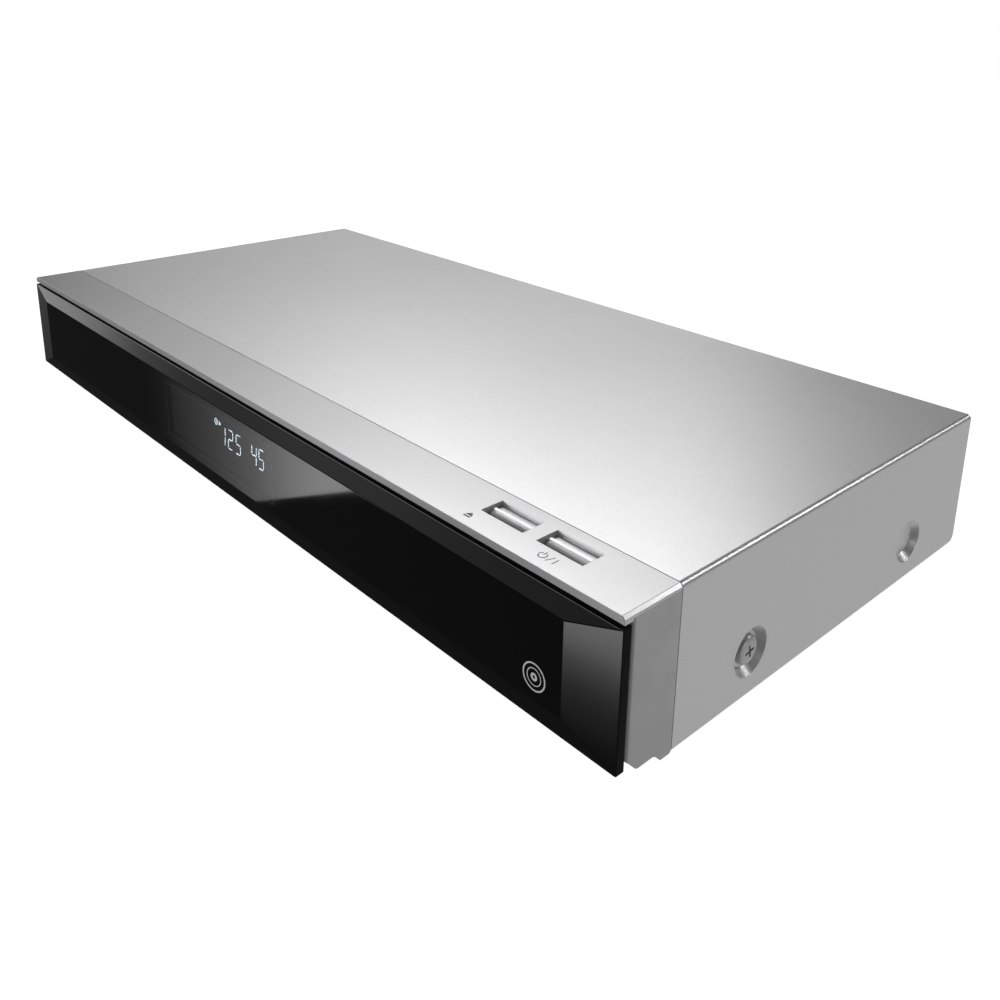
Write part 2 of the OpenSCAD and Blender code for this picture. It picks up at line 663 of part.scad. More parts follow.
module pickup_sled() place() color("dimgray") lowered() difference() {
    union() {
        block([drive_x - 25, 108, 38.6], [drive_x + 25, 126, 43.4]);
        block([drive_x - 17, 108, 43.4], [drive_x + 17, 130, 48.6]);
        rod_z(48.6, 51.8, drive_x, disc_y + 25.5, 5);
        block([drive_x + 25, 114, 41.9], [drive_x + 33, 119, 43.4]);
    }
    for (s = [-1, 1]) rod_y(107, 131, drive_x + s * rod_dx, rod_z, 1.56);
    rod_z(51, 53, drive_x, disc_y + 25.5, 2.6);
}

module pickup_lens() place() color("lightblue") lowered() {
    rod_z(51, 52.3, drive_x, disc_y + 25.5, 2.55);
    translate([drive_x, disc_y + 25.5, 52.3]) rotate_extrude() polygon([[0, 0], [2.2, 0],
        [1.8, 0.25], [1, 0.45], [0, 0.5]]);
}

// ---- hard drive -------------------------------------------------------------------------

module hdd_case() place() color("darkgray") difference() {
    block([hdd_x0, hdd_y0, hdd_z0], [hdd_x1, hdd_y1, hdd_z1 - 1.2]);
    rod_z(31, hdd_z1, platter_c[0], platter_c[1], 42.5, $fn = 96);
    block([hdd_x0 + 10, 110, 31], [hdd_x1 - 4, hdd_y1 - 8, hdd_z1]);
    block([60, 86, 31], [hdd_x1 - 4, 112, hdd_z1]);
    for (x = [hdd_x0 - 1, hdd_x1 - 6], y = [60, 101, 161]) rod_x(x, x + 7, y, 30.4, 1.4);
    block([10, hdd_y1 - 5, hdd_z0 - 1], [58, hdd_y1 + 1, 30]);
}

module hdd_lid() place() color("silver") {
    block([hdd_x0 + 2, hdd_y0 + 2, hdd_z1 - 1.2], [hdd_x1 - 2, hdd_y1 - 2, hdd_z1 - 0.4]);
    rod_z(hdd_z1 - 0.4, hdd_z1, platter_c[0], platter_c[1], 36, $fn = 96);
}

module hdd_platters() place() color("gainsboro") translate([platter_c[0], platter_c[1], 0]) {
    difference() {
        translate([0, 0, 31.3]) cylinder(h = 14.5, r = 12.5);
        translate([0, 0, 44]) cylinder(h = 3, r = 8);
    }
    for (z = [34, 41]) translate([0, 0, z]) cylinder(h = 1.3, r = 41.5, $fn = 96);
}

module hdd_arm() place() color("gray") translate([arm_c[0], arm_c[1], 0]) rotate(11) {
    translate([0, 0, 31.3]) cylinder(h = 14, r = 7);
    for (z = [32.2, 39]) translate([0, 0, z])
        linear_extrude(0.9) polygon([[-5, -4], [5, -4], [1.5, -52], [-1.5, -52]]);
    translate([-7, 4, 33]) cube([14, 10, 8]);
}

module hdd_bracket() place() color("silver") {
    for (x = [hdd_x0 - 1.4, hdd_x1 + 0.2]) difference() {
        block([x, 40, 19.6], [x + 1.2, 172, 38]);
        for (y = [60, 101, 161]) rod_x(x - 1, x + 3, y, 30.4, 1.8);
    }
    block([hdd_x0 - 1.4, 40, 18.4], [hdd_x1 + 1.4, 172, 19.6]);
    for (x = [hdd_x0 + 6, hdd_x1 - 6], y = [50, 162]) rod_z(pan_top, 18.4, x, y, 4);
    for (x = [hdd_x0 + 6, hdd_x1 - 6], y = [50, 162]) rod_z(19.6, hdd_z0, x, y, 5);
}

// ---- boards and sockets -----------------------------------------------------------------

module main_board() place() color("darkgreen") translate([0, 0, board_z]) linear_extrude(board_t)
    difference() {
        polygon([[96, 112], [207, 112], [207, 200.4], [22, 200.4], [22, 174.5], [48, 174.5], [48, 184],
            [96, 184]]);
        for (p = [[104, 118], [200, 118], [104, 176], [30, 191], [200, 142]])
            translate(p) circle(1.7);
    }

module main_board_chips() place() color("#2a2a2a") {
    block([124, 126, board_top], [152, 154, board_top + 2]);
    block([122, 124, board_top + 2], [154, 156, board_top + 4]);
    for (x = [123.5 : 5 : 152]) block([x, 124, board_top + 4], [x + 1.6, 156, board_top + 16]);
    for (x = [104, 112], y = [128, 146]) block([x, y, board_top], [x + 6, y + 11, board_top + 1.2]);
    for (x = [162, 174, 186]) rod_z(board_top, board_top + 11, x, 122, 4);
    for (x = [110, 120, 130]) rod_z(board_top, board_top + 7, x, 172, 2.5);
    block([97, 112.5, board_top], [100.8, 129, board_top + 4.5]);
    block([34, 184.6, board_top], [48, 188.6, 18]);
    block([22.4, 175.5, board_top], [28, 180.5, 18.4]);
}

module rear_sockets() place() color("silver") {
    hdmi_z = board_top + 0.4;
    difference() {
        block([71, 190, board_top], [81, body_d, 23.8]);
        block([73, 196, board_top + 2], [79, body_d + 1, 21.6]);
    }
    difference() {
        block([90.5, 188, hdmi_z], [105.5, body_d, 19.9]);
        block([91.1, 190, hdmi_z + 0.6], [104.9, body_d + 1, 19.3]);
    }
    block([92.6, 189.5, 16.4], [103.4, body_d - 1, 17.4]);
    translate([0, body_d + 20.4, 0]) mirror([0, 1, 0]) usb_shell(112.3, 20.4, 38, board_top);
    block([113.9, 187, 17.4], [125.2, body_d - 1.5, 19.2]);
    difference() {
        block([131.8, 185, board_top], [148.2, body_d, 27.4]);
        block([134, 191, board_top + 2], [146, body_d + 1, 23.2]);
        block([137, 191, 23], [143, body_d + 1, 25.6]);
    }
}

module tuner_module() place() color("silver") {
    difference() {
        block([160, 158, board_top], [205.5, 198, 32]);
        for (x = aerial_xs) rod_y(190, 199, x, aerial_z, 3);
    }
    for (x = aerial_xs) difference() {
        union() {
            rod_y(198, aerial_end, x, aerial_z, aerial_r);
            translate([x, 198, aerial_z]) rotate([-90, 0, 0]) cylinder(h = 3, r = 7, $fn = 6);
            translate([x, panel_y + sheet_t, aerial_z]) rotate([-90, 0, 0])
                difference() {
                    cylinder(h = 1.8, r = 7, $fn = 6);
                    translate([0, 0, -1]) cylinder(h = 4, r = aerial_r - 0.5);
                }
        }
        rod_y(aerial_end - 9, aerial_end + 1, x, aerial_z, 3.2);
    }
}

module power_board() place() color("peru") difference() {
    block([-208, 60, board_z], [-175, 196, board_top]);
    for (p = [[-204, 66], [-179, 66], [-204, 188], [-179, 150]])
        rod_z(board_z - 1, board_top + 1, p[0], p[1], 1.7);
}

module power_parts() place() color("goldenrod") {
    block([-204, 112, board_top], [-178, 138, board_top + 4]);
    block([-200, 116, board_top + 4], [-182, 134, board_top + 20]);
    block([-204, 119, board_top + 20], [-178, 131, board_top + 25]);
    for (s = [0, 1]) block([-204 + 22 * s, 119, board_top + 4], [-200 + 22 * s, 131, board_top + 20]);
    rod_z(board_top, board_top + 30, -193, 152, 9.5);
    for (y = [72, 84, 96]) rod_z(board_top, board_top + 18, -198, y, 4.5);
    for (y = [70, 92]) difference() {
        block([-187, y, board_top], [-177, y + 18, board_top + 26]);
        for (d = [1.5 : 3 : 16]) block([-185, y + d, board_top - 1], [-176, y + d + 1.5, 60]);
    }
    translate([-198, 168, board_top]) difference() {
        cylinder(h = 12, r = 7);
        translate([0, 0, -1]) cylinder(h = 14, r = 3);
    }
    block([-206, 102, board_top], [-190, 108, board_top + 12]);
    block([-181, 175.5, board_top], [-176, 180.5, 18.4]);
}

module mains_inlet() place() color("#101010") translate([inlet_c[0], 0, inlet_c[1]]) {
    difference() {
        translate([0, body_d + 0.4, 0]) rotate([90, 0, 0]) linear_extrude(20.4)
            rounded_rect(23, 14, 2);
        translate([0, body_d + 1, 0]) rotate([90, 0, 0]) linear_extrude(14) {
            for (s = [-1, 1]) translate([4.3 * s, 0]) circle(4.7);
            square([9, 7.4], center = true);
        }
    }
    for (s = [-1, 1]) rod_y(body_d - 13, body_d - 3, 4.3 * s, 0, 1.2);
    for (s = [-1, 1]) block([4.3 * s - 1, body_d - 24, -10.4], [4.3 * s + 1, body_d - 20, 2]);
}

module fan_frame() place() color("#161616") translate([fan_c[0], panel_y, fan_c[1]])
    rotate([90, 0, 0]) difference() {
        union() {
            difference() {
                linear_extrude(10) rounded_rect(fan_size, fan_size, 2.5);
                translate([0, 0, -1]) cylinder(h = 12, r = fan_size / 2 - 1.2);
            }
            translate([0, 0, 0.8]) cylinder(h = 1.4, r = 9);
            for (a = [45 : 90 : 315]) rotate(a) translate([8, -1, 0.8]) cube([11.4, 2, 1.4]);
            cylinder(h = 6, r = 1.5);
        }
        for (x = [-16, 16], y = [-16, 16]) translate([x, y, -1]) cylinder(h = 12, r = 1.6);
    }

module fan_rotor() place() color("#161616") translate([fan_c[0], panel_y - 2.6, fan_c[1]])
    rotate([90, 0, 0]) difference() {
        union() {
            cylinder(h = 7, r = 9);
            for (a = [0 : 360 / 7 : 359]) rotate(a) translate([8, 0, 3.5]) rotate([38, 0, 0])
                translate([0, -0.5, -3.4]) cube([9.8, 1, 6.6]);
        }
        translate([0, 0, -1]) cylinder(h = 4.5, r = 1.55);
    }

module board_screw(x, y, z) translate([x, y, z]) {
    cylinder(h = 1.8, r = 2.8);
    translate([0, 0, -4]) cylinder(h = 4, r = 1.25);
}

module board_screws() place() color("silver") {
    for (p = [for (q = stand_xy) if (q[1] != 54) q]) board_screw(p[0], p[1], board_top);
    for (s = [-1, 1], y = drive_leg_ys) board_screw(drive_x + s * (drive_half + 3), y, 17);
    for (x = [164, 201]) {
        rod_z(board_z, 17.4, x, 54, 3);
        board_screw(x, 54, 19);
    }
}

// Flat leads that are clipped down inside the case
module internal_cables() place() color("white") {
    // Drive board to main board, under the hard drive
    slab_y(110, 128, [[-38, 24], [-38, 24.4], [-21.6, 24.4], [-21.6, 17.2], [95.8, 17.2],
        [95.8, 18.5], [100.4, 18.5], [100.4, 18.1], [96.2, 18.1], [96.2, 16.8], [-22, 16.8], [-22, 24]]);
    // Display board to main board, between the drives
    slab_x(-16.6, -16.2, [[15.8, 32], [15.8, 37], [31, 37], [31, 16.2], [182.4, 16.2], [182.4, 10],
        [26.6, 10], [26.6, 32]]);
    block([-16.2, 182, 10], [21.8, 182.4, 16.2]);
    // Hard drive to main board
    slab_x(35, 47, [[175.5, 27], [187, 27], [187, 18], [186.2, 18], [186.2, 26.2], [175.5, 26.2]]);
    // Power board to main board, along the floor under both drives
    slab_y(176, 180, [[-176, 17], [-169, 17], [-169, 9.2], [18.4, 9.2], [18.4, 17], [22.4, 17],
        [22.4, 16], [19.4, 16], [19.4, 8.2], [-170, 8.2], [-170, 16], [-176, 16]]);
}

top_cover();
chassis_base();
rear_panel();
front_frame();
top_strip();
sub_panel();
feet();
foot_pads();
cover_side_screws();
cover_rear_screws();
hinge_pins();
door_magnets();
door_panel();
door_inner_frame();
door_catch_plates();
display_holder();
display_glass();
display_board();
ir_receiver();
button_holder();
button_board();
tact_switches();
eject_button();
power_button();
front_board();
card_slot();
front_usb_socket();
ci_slot_cage();
disc_tray();
drive_base();
drive_bridge();
disc_clamp();
drive_board();
loading_motor();
motor_pinion();
loading_gear();
laser_deck();
guide_rods();
spindle_motor();
turntable();
sled_motor();
lead_screw();
pickup_sled();
pickup_lens();
hdd_case();
hdd_lid();
hdd_platters();
hdd_arm();
hdd_bracket();
main_board();
main_board_chips();
rear_sockets();
tuner_module();
power_board();
power_parts();
mains_inlet();
fan_frame();
fan_rotor();
board_screws();
internal_cables();
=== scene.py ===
import math

import bmesh
import bpy
from mathutils import Matrix, Vector

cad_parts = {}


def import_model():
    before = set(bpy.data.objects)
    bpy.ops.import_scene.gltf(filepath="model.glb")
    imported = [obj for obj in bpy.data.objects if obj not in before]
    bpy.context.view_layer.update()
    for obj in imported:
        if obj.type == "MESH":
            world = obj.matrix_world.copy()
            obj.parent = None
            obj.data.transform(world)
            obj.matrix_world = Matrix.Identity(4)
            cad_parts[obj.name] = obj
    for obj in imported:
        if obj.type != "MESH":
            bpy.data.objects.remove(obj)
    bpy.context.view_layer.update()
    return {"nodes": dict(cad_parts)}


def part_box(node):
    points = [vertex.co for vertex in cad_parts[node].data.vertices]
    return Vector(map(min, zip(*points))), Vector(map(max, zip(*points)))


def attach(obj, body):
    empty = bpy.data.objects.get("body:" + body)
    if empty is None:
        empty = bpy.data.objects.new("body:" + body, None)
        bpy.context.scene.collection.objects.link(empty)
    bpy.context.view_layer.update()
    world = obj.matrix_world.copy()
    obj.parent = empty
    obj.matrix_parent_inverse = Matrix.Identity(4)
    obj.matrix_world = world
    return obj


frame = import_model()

# The recorder's front faces -Y and it stands on z = 0. Lengths below are in millimetres, measured
# as on its drawing: x from the middle, y back from the top lip's front face, z up from the floor.
MM = 0.001
NODES = frame["nodes"]
LIP_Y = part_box("top_strip")[0].y
RIGHT, BACK, UP = Vector((1, 0, 0)), Vector((0, 1, 0)), Vector((0, 0, 1))
FRONT = -BACK
INK = 0.03  # how far a printed sign stands off its face


def at(x, y, z):
    """A point of the drawing as a vector in the row frame, in metres."""
    return Vector((x * MM, LIP_Y + y * MM, z * MM))


def drawn_box(node):
    """A CAD node's lowest and highest corners, in the drawing's millimetres."""
    low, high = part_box(node)
    return [Vector((p.x / MM, (p.y - LIP_Y) / MM, p.z / MM)) for p in (low, high)]


# ---- node trees -----------------------------------------------------------------------------

class Graph:
    """A material's or world's node tree, with short calls that add and link nodes."""

    def __init__(self, owner):
        owner.use_nodes = True
        self.tree = owner.node_tree
        self.tree.nodes.clear()

    def add(self, kind, inputs=None, **settings):
        node = self.tree.nodes.new(kind)
        for key, value in settings.items():
            setattr(node, key, value)
        for key, value in (inputs or {}).items():
            self.put(node.inputs[key], value)
        return node

    def put(self, socket, value):
        if isinstance(value, bpy.types.NodeSocket):
            self.tree.links.new(value, socket)
        elif isinstance(value, (tuple, list)) and len(value) == 3 and socket.type == "RGBA":
            socket.default_value = (*value, 1.0)
        else:
            socket.default_value = value

    def math(self, operation, a, b=0.0):
        return self.add("ShaderNodeMath", {0: a, 1: b}, operation=operation).outputs[0]

    def remap(self, value, low, high, to_low=0.0, to_high=1.0, smooth=False):
        kind = "SMOOTHSTEP" if smooth else "LINEAR"
        node = self.add("ShaderNodeMapRange", {"Value": value, "From Min": low, "From Max": high,
                        "To Min": to_low, "To Max": to_high}, interpolation_type=kind)
        return node.outputs["Result"]

    def mix(self, factor, a, b):
        node = self.add("ShaderNodeMix", data_type="RGBA")
        self.put(node.inputs["Factor"], factor)
        self.put(node.inputs[6], a)
        self.put(node.inputs[7], b)
        return node.outputs[2]

    def place(self, stretch=(1, 1, 1)):
        coords = self.add("ShaderNodeTexCoord").outputs["Object"]
        return self.add("ShaderNodeMapping", {"Vector": coords, "Scale": stretch}).outputs[0]

    def axes(self):
        coords = self.add("ShaderNodeTexCoord").outputs["Object"]
        return self.add("ShaderNodeSeparateXYZ", {0: coords}).outputs

    def noise(self, scale, detail=4.0, stretch=(1, 1, 1), distortion=0.0):
        node = self.add("ShaderNodeTexNoise", {"Vector": self.place(stretch), "Scale": scale,
                        "Detail": detail, "Distortion": distortion})
        return node.outputs["Fac"]

    def cells(self, scale, stretch=(1, 1, 1), feature="F1"):
        node = self.add("ShaderNodeTexVoronoi", {"Vector": self.place(stretch), "Scale": scale},
                        feature=feature)
        return node.outputs["Distance"]

    def bump(self, height, strength, depth, below=None):
        inputs = {"Height": height, "Strength": strength, "Distance": depth}
        if below is not None:
            inputs["Normal"] = below
        return self.add("ShaderNodeBump", inputs).outputs[0]

    def edge_wear_and_highlight(self, low=0.52, high=0.62):
        """1 along convex edges, broken up by noise, and 0 elsewhere: the mask for edges painted
        lighter, partly wear and partly a painted edge highlight.
        """
        edge = self.add("ShaderNodeNewGeometry").outputs["Pointiness"]
        return self.math("MULTIPLY", self.remap(edge, low, high), self.remap(self.noise(90), 0.4, 0.65))

    def shader(self, inputs):
        node = self.add("ShaderNodeBsdfPrincipled", inputs)
        self.add("ShaderNodeOutputMaterial", {"Surface": node.outputs[0]})


def shade(colour, factor):
    return tuple(min(1.0, c * factor) for c in colour)


def surface(name, colour, metallic=0.0, roughness=0.5, grain=1500, stretch=(1, 1, 1), tone=0.06,
            spread=0.06, bump=0.15, depth=0.02, edge_wear_and_highlight=0.25, **extra):
    """A procedural surface: fine grain, slow mottling, uneven roughness, bump, and convex edges painted
    lighter, partly as wear and partly as a painted edge highlight.
    """
    material = bpy.data.materials.new(name)
    g = Graph(material)
    fine = g.noise(grain, 3.0, stretch)
    slow = g.noise(22, 3.0)
    both = g.math("ADD", g.math("MULTIPLY", fine, 0.55), g.math("MULTIPLY", slow, 0.45))
    body = g.mix(g.remap(both, 0.35, 0.65), shade(colour, 1 - tone), shade(colour, 1 + tone))
    # Convex edges painted lighter: part wear, part painted edge highlight.
    if edge_wear_and_highlight:
        light = shade(colour, 1.6) if max(colour) > 0.2 else tuple(c + 0.06 for c in colour)
        body = g.mix(g.math("MULTIPLY", g.edge_wear_and_highlight(), edge_wear_and_highlight), body, light)
    rough = g.remap(both, 0.3, 0.7, max(0.02, roughness - spread), min(1.0, roughness + spread))
    inputs = {"Base Color": body, "Metallic": metallic, "Roughness": rough,
              "Normal": g.bump(fine, bump, depth * MM)}
    inputs.update(extra)
    g.shader(inputs)
    return material


# ---- materials ------------------------------------------------------------------------------

def silver_sheet():
    """Satin silver paint on steel: tiny flakes and a fine orange peel."""
    material = bpy.data.materials.new("silver_sheet_paint")
    g = Graph(material)
    flake = g.noise(2600, 2.0)
    peel = g.noise(420, 2.0)
    slow = g.noise(9, 2.0)
    body = g.mix(g.remap(flake, 0.3, 0.7), (0.60, 0.60, 0.605), (0.70, 0.70, 0.705))
    # Convex edges painted lighter, toward pale grey: part wear, part painted edge highlight.
    body = g.mix(g.math("MULTIPLY", g.edge_wear_and_highlight(), 0.2), body, (0.85, 0.85, 0.85))
    rough = g.math("ADD", g.remap(slow, 0.3, 0.7, 0.35, 0.37), g.remap(flake, 0.3, 0.7, -0.03, 0.03))
    normal = g.bump(peel, 0.05, 0.02 * MM, g.bump(flake, 0.10, 0.01 * MM))
    g.shader({"Base Color": body, "Metallic": 0.7, "Roughness": rough, "Normal": normal})
    return material


def silver_plastic(name, tint, roughness, metallic=0.6):
    """Silver-painted moulding, a little smoother than the cover."""
    material = bpy.data.materials.new(name)
    g = Graph(material)
    flake = g.noise(3200, 2.0)
    slow = g.noise(14, 2.0)
    body = g.mix(g.remap(flake, 0.3, 0.7), shade((tint, tint, tint * 1.01), 0.93),
                 shade((tint, tint, tint * 1.01), 1.07))
    # Convex edges painted lighter, toward pale grey: part wear, part painted edge highlight.
    body = g.mix(g.math("MULTIPLY", g.edge_wear_and_highlight(), 0.15), body, (0.85, 0.85, 0.85))
    rough = g.math("ADD", g.remap(slow, 0.3, 0.7, roughness - 0.015, roughness + 0.015),
                   g.remap(flake, 0.3, 0.7, -0.02, 0.02))
    g.shader({"Base Color": body, "Metallic": metallic, "Roughness": rough,
              "Normal": g.bump(flake, 0.08, 0.01 * MM)})
    return material


def door_acrylic(window):
    """Gloss-black acrylic, painted behind except in the smoked window before the display."""
    low, high = window
    material = bpy.data.materials.new("door_gloss_acrylic")
    g = Graph(material)
    x, _, z = g.axes()
    soft = 1.5 * MM
    inside = g.math("MULTIPLY", g.remap(x, low.x, low.x + soft),
                    g.remap(x, high.x - soft, high.x, 1, 0))
    inside = g.math("MULTIPLY", inside, g.remap(z, low.z, low.z + soft))
    inside = g.math("MULTIPLY", inside, g.remap(z, high.z - soft, high.z, 1, 0))
    smudge = g.noise(14, 3.0, (1, 1, 2.4), 1.2)
    dust = g.noise(1900, 1.0)
    body = g.mix(inside, (0.0032, 0.0032, 0.0036), (0.05, 0.052, 0.055))
    rough = g.math("ADD", g.remap(smudge, 0.35, 0.75, 0.028, 0.05), g.remap(dust, 0.6, 0.75, 0.0, 0.02))
    facing = g.add("ShaderNodeSeparateXYZ", {0: g.add("ShaderNodeNewGeometry").outputs["Normal"]})
    sawn_end = g.remap(g.math("ABSOLUTE", facing.outputs[0]), 0.9, 0.97)
    rough = g.math("MAXIMUM", rough, g.math("MULTIPLY", sawn_end, 0.5))
    g.shader({"Base Color": body, "Metallic": 0.0, "Roughness": rough, "IOR": 1.49,
              "Specular IOR Level": g.remap(sawn_end, 0, 1, 0.5, 0.05),
              "Transmission Weight": inside, "Normal": g.bump(smudge, 0.02, 0.05 * MM)})
    return material


def glowing(name, colour, strength):
    """Lit display segments, very slightly uneven."""
    material = bpy.data.materials.new(name)
    g = Graph(material)
    body = g.mix(g.noise(600, 2.0), shade(colour, 0.86), colour)
    g.shader({"Base Color": (0.5, 0.6, 0.6), "Roughness": 0.5, "Emission Color": body,
              "Emission Strength": strength})
    return material


def display_face():
    """Dark display glass with the fine control mesh that shows behind it."""
    material = bpy.data.materials.new("display_tube_glass")
    g = Graph(material)
    x, _, z = g.axes()
    pitch = 2 * math.pi / (0.6 * MM)
    wires = g.math("ADD", g.math("SINE", g.math("MULTIPLY", x, pitch)),
                   g.math("SINE", g.math("MULTIPLY", z, pitch)))
    lines = g.remap(wires, 0.9, 1.6)
    mottled = g.remap(g.noise(300, 3.0), 0.3, 0.7)
    body = g.mix(lines, (0.006, 0.008, 0.009), (0.02, 0.024, 0.026))
    body = g.mix(g.math("MULTIPLY", mottled, 0.25), body, (0.012, 0.018, 0.02))
    g.shader({"Base Color": body, "Roughness": g.remap(mottled, 0, 1, 0.06, 0.12), "IOR": 1.5,
              "Coat Weight": 0.6, "Coat Roughness": 0.03})
    return material


def circuit_board(name, colour):
    """Solder mask with faint tracks under it."""
    material = bpy.data.materials.new(name)
    g = Graph(material)
    tracks = g.remap(g.cells(260, (1, 1, 1), "DISTANCE_TO_EDGE"), 0.03, 0.08, 1, 0)
    lanes = g.remap(g.noise(120, 1.0, (1, 6, 1)), 0.52, 0.56)
    body = g.mix(g.math("MULTIPLY", tracks, 0.6), colour, shade(colour, 1.8))
    body = g.mix(g.math("MULTIPLY", lanes, 0.35), body, shade(colour, 0.6))
    g.shader({"Base Color": body, "Roughness": g.remap(g.noise(200), 0.3, 0.7, 0.3, 0.45),
              "Normal": g.bump(tracks, 0.25, 0.03 * MM), "Coat Weight": 0.3, "Coat Roughness": 0.2})
    return material


M = {
    "silver_sheet": silver_sheet(),
    "strip": silver_plastic("silver_strip_paint", 0.55, 0.345, 0.58),
    "cheek": silver_plastic("silver_cheek_paint", 0.37, 0.42, 0.45),
    "cap": silver_plastic("silver_button_paint", 0.66, 0.30, 0.75),
    "ink": surface("symbol_ink_grey", (0.13, 0.13, 0.135), roughness=0.6, edge_wear_and_highlight=0),
    "print": surface("door_print_grey", (0.55, 0.55, 0.56), roughness=0.5, edge_wear_and_highlight=0),
    "zinc": surface("zinc_plated_sheet", (0.56, 0.57, 0.58), 0.9, 0.38, 260, tone=0.1, bump=0.08),
    "steel": surface("bright_steel", (0.68, 0.68, 0.69), 1.0, 0.26, 700, (1, 8, 1), 0.05, bump=0.06),
    "nickel": surface("nickel_screw", (0.44, 0.44, 0.435), 0.55, 0.3, 900, tone=0.05, bump=0.06),
    "magnet": surface("magnet_ferrite", (0.045, 0.045, 0.05), 0.3, 0.6, 700),
    "cast": surface("cast_aluminium", (0.52, 0.53, 0.54), 0.85, 0.45, 500, tone=0.08, bump=0.3),
    "black": surface("black_moulding", (0.018, 0.018, 0.019), 0.0, 0.48, 1400, tone=0.15, bump=0.4,
                     depth=0.03),
    "rubber": surface("foot_rubber", (0.018, 0.018, 0.018), 0.0, 0.75, 900, tone=0.2, bump=0.5,
                      depth=0.05),
    "chip": surface("chip_epoxy", (0.02, 0.02, 0.022), 0.0, 0.5, 1200, tone=0.1),
    "parts": surface("power_parts_wrap", (0.35, 0.27, 0.10), 0.0, 0.4, 600, tone=0.2),
    "gear": surface("white_acetal", (0.72, 0.71, 0.66), 0.0, 0.35, 900, tone=0.03),
    "cable": surface("flat_cable_white", (0.68, 0.68, 0.66), 0.0, 0.4, 400, (8, 1, 8), 0.08),
    "gold": surface("gold_contacts", (0.83, 0.62, 0.24), 1.0, 0.25, 900),
    "window_red": surface("receiver_window", (0.05, 0.004, 0.006), 0.0, 0.08, 900, edge_wear_and_highlight=0),
    "green_board": circuit_board("green_solder_mask", (0.012, 0.085, 0.03)),
    "tan_board": circuit_board("tan_solder_mask", (0.32, 0.19, 0.07)),
    "display": display_face(),
    "lit": glowing("display_segments_lit", (0.86, 0.97, 1.0), 22.0),
    "unlit": surface("display_segments_unlit", (0.035, 0.042, 0.044), 0.0, 0.5, 900, edge_wear_and_highlight=0),
    "lens": surface("pickup_lens_glass", (0.05, 0.07, 0.12), 0.0, 0.05, 500, edge_wear_and_highlight=0),
    "amber": surface("network_lamp_amber", (0.45, 0.2, 0.02), 0.0, 0.15, 900, edge_wear_and_highlight=0),
    "green": surface("network_lamp_green", (0.03, 0.3, 0.06), 0.0, 0.15, 900, edge_wear_and_highlight=0),
    "label": surface("blank_rating_plate", (0.6, 0.6, 0.61), 0.2, 0.5, 500, tone=0.03),
}
M["door"] = door_acrylic((at(-50, 0, 21), at(42, 0, 47)))

# Which material each CAD node wears, how wide its broken edges are in millimetres, and, where
# it isn't 28, the smallest angle in degrees that counts as an edge
DRESS = {
    "silver_sheet": (("top_cover", 0.12),),
    "strip": (("top_strip", 0.12),),
    "cheek": (("front_frame", 0.2),),
    "cap": (("eject_button", 0.25), ("power_button", 0.25)),
    "zinc": (("chassis_base", 0.12), ("rear_panel", 0), ("drive_bridge", 0.1), ("hdd_bracket", 0.15),
             ("laser_deck", 0.1), ("ci_slot_cage", 0.12), ("tuner_module", 0.12)),
    "steel": (("card_slot", 0.1), ("front_usb_socket", 0.08), ("rear_sockets", 0.1),
              ("hinge_pins", 0.1), ("guide_rods", 0.1), ("lead_screw", 0.05), ("hdd_lid", 0.2),
              ("hdd_platters", 0.1), ("door_catch_plates", 0.08), ("loading_motor", 0.3),
              ("sled_motor", 0.2)),
    "nickel": (("cover_side_screws", 0.1), ("cover_rear_screws", 0.1), ("board_screws", 0.15)),
    "magnet": (("door_magnets", 0.2),),
    "cast": (("hdd_case", 0.4), ("hdd_arm", 0.2), ("spindle_motor", 0.2)),
    "black": (("sub_panel", 0.3), ("feet", 0.3), ("display_holder", 0.25), ("button_holder", 0.3),
              ("disc_tray", 0.3), ("drive_base", 0.3), ("disc_clamp", 0.2), ("turntable", 0.2),
              ("fan_frame", 0.3), ("fan_rotor", 0.15), ("mains_inlet", 0.3), ("pickup_sled", 0.3),
              ("door_inner_frame", 0.25), ("tact_switches", 0.1)),
    "rubber": (("foot_pads", 0.4),),
    "chip": (("main_board_chips", 0.15),),
    "parts": (("power_parts", 0.4),),
    "gear": (("loading_gear", 0.08), ("motor_pinion", 0.06)),
    "cable": (("internal_cables", 0.05),),
    "window_red": (("ir_receiver", 0),),
    "green_board": (("display_board", 0.1), ("button_board", 0.1), ("front_board", 0.1),
                    ("drive_board", 0.1), ("main_board", 0.1)),
    "tan_board": (("power_board", 0.1),),
    "display": (("display_glass", 0.3),),
    "lens": (("pickup_lens", 0),),
    "door": (("door_panel", 0.28, 3),),
}


def dress(node, material, edge, crease=28):
    """Gives a CAD node its material, and softens its edges with modifiers."""
    obj = NODES[node]
    if not obj.material_slots:
        obj.data.materials.append(material)
    for slot in obj.material_slots:
        slot.material = material
    obj.data.polygons.foreach_set("use_smooth", [True] * len(obj.data.polygons))
    weld = obj.modifiers.new("weld", "WELD")
    weld.merge_threshold = 0.002 * MM
    if edge:
        bevel = obj.modifiers.new("edges", "BEVEL")
        bevel.width = edge * MM
        bevel.segments = 2
        bevel.limit_method = "ANGLE"
        bevel.angle_limit = math.radians(crease)
        bevel.miter_outer = "MITER_ARC"
    smooth = obj.modifiers.new("shading", "WEIGHTED_NORMAL")
    smooth.keep_sharp = True
    smooth.weight = 80


for look, members in DRESS.items():
    for node, *edges in members:
        dress(node, M[look], *edges)


# ---- mesh helpers ---------------------------------------------------------------------------

